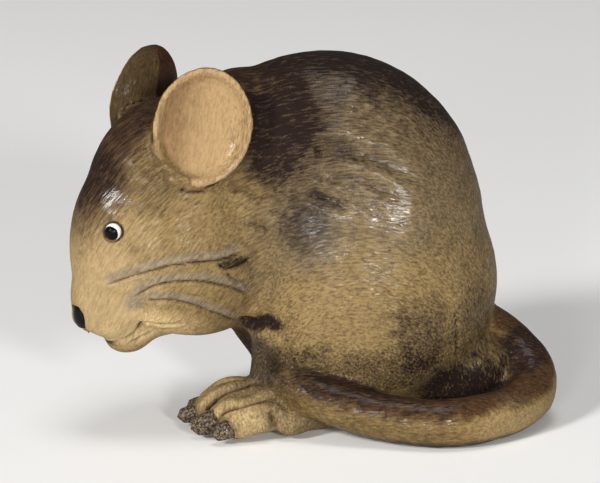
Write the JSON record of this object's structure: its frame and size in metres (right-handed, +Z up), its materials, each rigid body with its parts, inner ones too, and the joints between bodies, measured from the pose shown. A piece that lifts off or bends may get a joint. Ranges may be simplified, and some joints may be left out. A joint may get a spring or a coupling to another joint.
{
  "type": "carved wooden mouse figurine",
  "caption": "Carved and stained wooden mouse sitting hunched, head turned to its left, tail curled round its side, resting on small flats.",
  "frame": {"origin": "on the surface it rests on, under the middle of its outline", "axes": "+Z up, the mouse faces -X, and its left side, with the tail, is towards -Y"},
  "size_m": [0.0702, 0.04, 0.0542],
  "materials": {
    "ochre_wood": "stained lime wood, dark umber along the back and ochre on the flanks, satin lacquer",
    "tan_wood": "pale tan stained lime wood, satin lacquer",
    "umber_wood": "dark umber stained lime wood, satin lacquer",
    "claw_stain": "near-black stained wood, satin lacquer",
    "nose_paint": "black paint on wood, glossy",
    "eye_paint": "white paint with a black pupil on wood, glossy"
  },
  "bodies": {
    "root": {"head": "ochre_wood", "neck": "ochre_wood", "trunk": "ochre_wood", "haunch_left": "ochre_wood", "haunch_right": "ochre_wood", "foreleg_left": "ochre_wood", "foreleg_right": "ochre_wood", "hind_foot_left": "tan_wood", "hind_foot_right": "tan_wood", "ear_left": "tan_wood", "ear_right": "tan_wood", "eye_left": "eye_paint", "eye_right": "eye_paint", "nose": "nose_paint", "tail_root": "umber_wood", "tail_middle": "umber_wood", "tail_tip": "umber_wood", "claw_left_1": "claw_stain", "claw_left_2": "claw_stain", "claw_left_3": "claw_stain", "claw_left_4": "claw_stain", "claw_right_1": "claw_stain", "claw_right_2": "claw_stain", "claw_right_3": "claw_stain", "claw_right_4": "claw_stain"}
  },
  "joints": []
}
